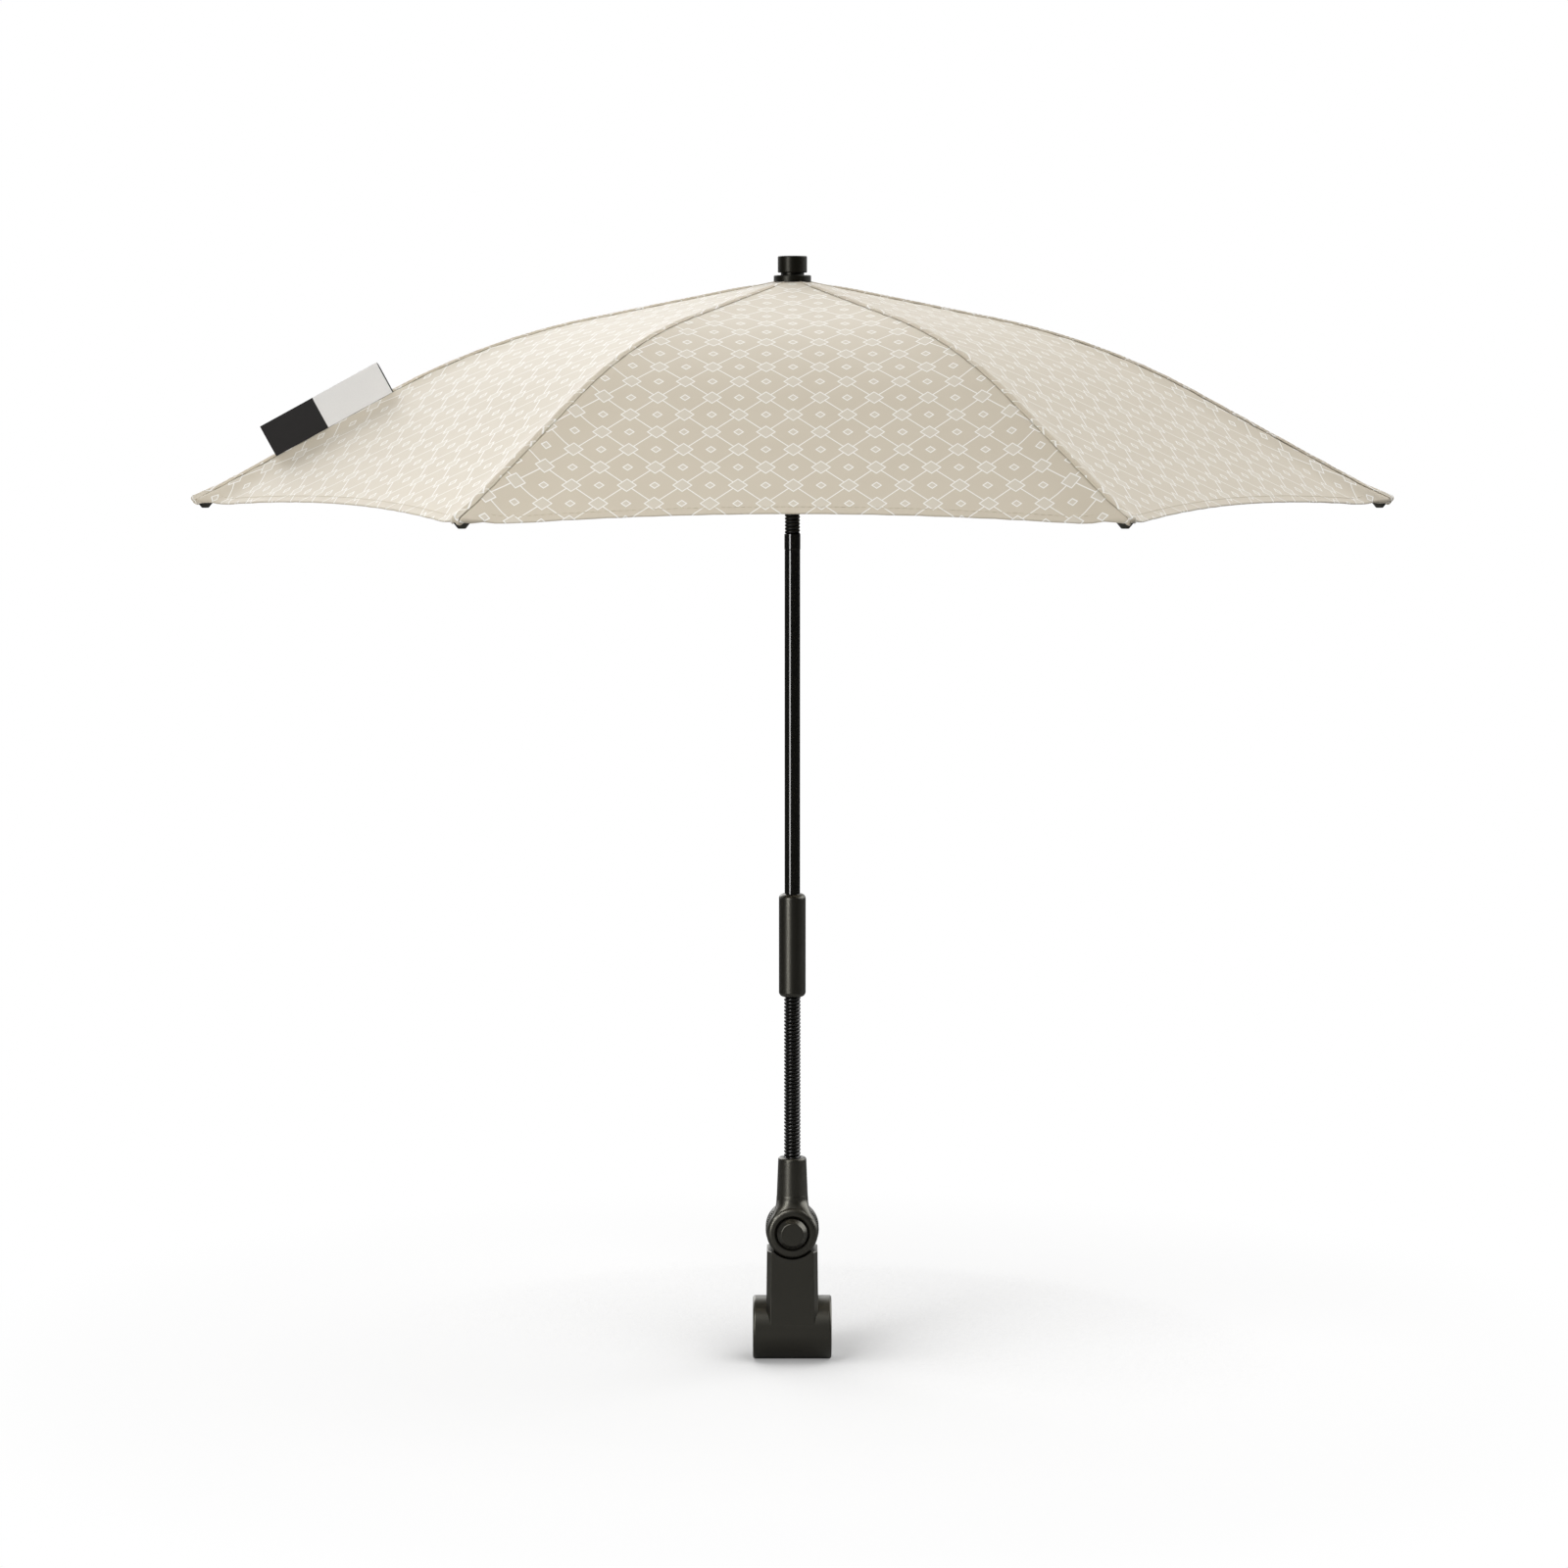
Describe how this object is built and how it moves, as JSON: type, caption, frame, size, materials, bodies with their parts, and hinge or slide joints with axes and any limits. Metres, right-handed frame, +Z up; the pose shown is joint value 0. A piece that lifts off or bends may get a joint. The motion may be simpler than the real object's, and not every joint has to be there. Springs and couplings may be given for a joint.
{
  "type": "pram parasol",
  "caption": "Clip-on sunshade for a pram: a folding ribbed canopy on a thin mast with a bendable gooseneck and a push-button knuckle over a tube clamp.",
  "frame": {"origin": "centre of the clamp's bore, where it grips the pram's tube", "axes": "+X along the tube that the clamp grips, +Z up along the straight mast, lock button to -Y"},
  "size_m": [0.7676, 0.6662, 0.7198],
  "materials": {
    "moulded": "satin charcoal",
    "button": "fine matt charcoal",
    "soft": "matt",
    "lacquered": "gloss black",
    "blackened": "satin black",
    "steel": "bright",
    "cloth": "plain weave, printed",
    "tape": "woven tape"
  },
  "bodies": {
    "clamp": {"clamp_body": "moulded", "clamp_liner": "soft", "detent_disc": "moulded", "pivot_bolt": "steel", "bolt_washer": "steel"},
    "arm": {"swivel_arm": "moulded", "lock_spring": "steel"},
    "button": {"lock_button": "button"},
    "gooseneck": {"gooseneck_coil": "blackened", "gooseneck_core": "blackened"},
    "mast": {"connector_sleeve": "moulded", "mast_tube": "lacquered", "lower_ferrule": "lacquered"},
    "head": {"flex_coil": "blackened", "flex_core": "soft", "upper_ferrule": "lacquered", "upper_tube": "lacquered", "runner_catch": "steel", "top_cap": "moulded", "crown": "moulded", "crown_pins": "steel"},
    "runner": {"runner": "moulded", "runner_pins": "steel"},
    "rib_1": {"rib_1": "blackened", "rib_tip_1": "moulded", "rib_rivet_1": "steel", "canopy_panel_1": "cloth"},
    "stretcher_1": {"stretcher_1": "blackened"},
    "rib_2": {"rib_2": "blackened", "rib_tip_2": "moulded", "rib_rivet_2": "steel", "canopy_panel_2": "cloth"},
    "stretcher_2": {"stretcher_2": "blackened"},
    "rib_3": {"rib_3": "blackened", "rib_tip_3": "moulded", "rib_rivet_3": "steel", "canopy_panel_3": "cloth"},
    "stretcher_3": {"stretcher_3": "blackened"},
    "rib_4": {"rib_4": "blackened", "rib_tip_4": "moulded", "rib_rivet_4": "steel", "canopy_panel_4": "cloth", "woven_label": "tape"},
    "stretcher_4": {"stretcher_4": "blackened"},
    "rib_5": {"rib_5": "blackened", "rib_tip_5": "moulded", "rib_rivet_5": "steel", "canopy_panel_5": "cloth"},
    "stretcher_5": {"stretcher_5": "blackened"},
    "rib_6": {"rib_6": "blackened", "rib_tip_6": "moulded", "rib_rivet_6": "steel", "canopy_panel_6": "cloth"},
    "stretcher_6": {"stretcher_6": "blackened"}
  },
  "joints": [
    {"name": "knuckle_tilt", "type": "hinge", "parent": "clamp", "child": "arm", "pos_m": [0, -0.007, 0.0662], "axis": [0, 1, 0], "range_deg": [-75, 75]},
    {"name": "lock_button_press", "type": "slide", "parent": "arm", "child": "button", "axis": [0, 1, 0], "range_m": [0, 0.003], "stiffness_N_per_m": 600, "springref_m": -0.003, "deforming": ["lock_spring"]},
    {"name": "gooseneck_lower_bend", "type": "hinge", "parent": "arm", "child": "gooseneck", "pos_m": [0, -0.007, 0.14097], "axis": [1, 0, 0], "range_deg": [-40, 40], "deforming": ["gooseneck_coil", "gooseneck_core"]},
    {"name": "gooseneck_upper_bend", "type": "hinge", "parent": "gooseneck", "child": "mast", "pos_m": [0, -0.007, 0.19392], "axis": [0, 1, 0], "range_deg": [-40, 40]},
    {"name": "flex_bend", "type": "hinge", "parent": "mast", "child": "head", "pos_m": [0, -0.007, 0.5408], "axis": [1, 0, 0], "range_deg": [-40, 0], "deforming": ["flex_coil", "flex_core"]},
    {"name": "rib_1_fold", "type": "hinge", "parent": "head", "child": "rib_1", "pos_m": [0.009, -0.007, 0.6803], "axis": [0, 1, 0], "range_deg": [0, 66], "deforming": ["canopy_panel_1", "runner_catch"]},
    {"name": "rib_2_fold", "type": "hinge", "parent": "head", "child": "rib_2", "pos_m": [0.0045, 0.00079, 0.6803], "axis": [-0.866, 0.5, 0], "range_deg": [0, 66], "deforming": ["canopy_panel_2"]},
    {"name": "rib_3_fold", "type": "hinge", "parent": "head", "child": "rib_3", "pos_m": [-0.0045, 0.00079, 0.6803], "axis": [-0.866, -0.5, 0], "range_deg": [0, 66], "deforming": ["canopy_panel_3"]},
    {"name": "rib_4_fold", "type": "hinge", "parent": "head", "child": "rib_4", "pos_m": [-0.009, -0.007, 0.6803], "axis": [0, -1, 0], "range_deg": [0, 66], "deforming": ["canopy_panel_4"]},
    {"name": "rib_5_fold", "type": "hinge", "parent": "head", "child": "rib_5", "pos_m": [-0.0045, -0.01479, 0.6803], "axis": [0.866, -0.5, 0], "range_deg": [0, 66], "deforming": ["canopy_panel_5"]},
    {"name": "rib_6_fold", "type": "hinge", "parent": "head", "child": "rib_6", "pos_m": [0.0045, -0.01479, 0.6803], "axis": [0.866, 0.5, 0], "range_deg": [0, 66], "deforming": ["canopy_panel_6"]},
    {"name": "stretcher_1_fold", "type": "hinge", "parent": "rib_1", "child": "stretcher_1", "pos_m": [0.16814, -0.007, 0.64555], "axis": [0, 1, 0], "range_deg": [-132, 0]},
    {"name": "stretcher_2_fold", "type": "hinge", "parent": "rib_2", "child": "stretcher_2", "pos_m": [0.08407, 0.13862, 0.64555], "axis": [-0.866, 0.5, 0], "range_deg": [-132, 0]},
    {"name": "stretcher_3_fold", "type": "hinge", "parent": "rib_3", "child": "stretcher_3", "pos_m": [-0.08407, 0.13862, 0.64555], "axis": [-0.866, -0.5, 0], "range_deg": [-132, 0]},
    {"name": "stretcher_4_fold", "type": "hinge", "parent": "rib_4", "child": "stretcher_4", "pos_m": [-0.16814, -0.007, 0.64555], "axis": [0, -1, 0], "range_deg": [-132, 0]},
    {"name": "stretcher_5_fold", "type": "hinge", "parent": "rib_5", "child": "stretcher_5", "pos_m": [-0.08407, -0.15262, 0.64555], "axis": [0.866, -0.5, 0], "range_deg": [-132, 0]},
    {"name": "stretcher_6_fold", "type": "hinge", "parent": "rib_6", "child": "stretcher_6", "pos_m": [0.08407, -0.15262, 0.64555], "axis": [0.866, 0.5, 0], "range_deg": [-132, 0]},
    {"name": "runner_fold", "type": "hinge", "parent": "stretcher_1", "child": "runner", "pos_m": [0.009, -0.007, 0.6108], "axis": [0, 1, 0], "range_deg": [0, 66]}
  ],
  "couplings": [
    {"joint": "rib_2_fold", "follows": "rib_1_fold", "ratio": 1},
    {"joint": "rib_3_fold", "follows": "rib_1_fold", "ratio": 1},
    {"joint": "rib_4_fold", "follows": "rib_1_fold", "ratio": 1},
    {"joint": "rib_5_fold", "follows": "rib_1_fold", "ratio": 1},
    {"joint": "rib_6_fold", "follows": "rib_1_fold", "ratio": 1},
    {"joint": "stretcher_1_fold", "follows": "rib_1_fold", "ratio": -2},
    {"joint": "stretcher_2_fold", "follows": "rib_1_fold", "ratio": -2},
    {"joint": "stretcher_3_fold", "follows": "rib_1_fold", "ratio": -2},
    {"joint": "stretcher_4_fold", "follows": "rib_1_fold", "ratio": -2},
    {"joint": "stretcher_5_fold", "follows": "rib_1_fold", "ratio": -2},
    {"joint": "stretcher_6_fold", "follows": "rib_1_fold", "ratio": -2},
    {"joint": "runner_fold", "follows": "rib_1_fold", "ratio": 1}
  ]
}
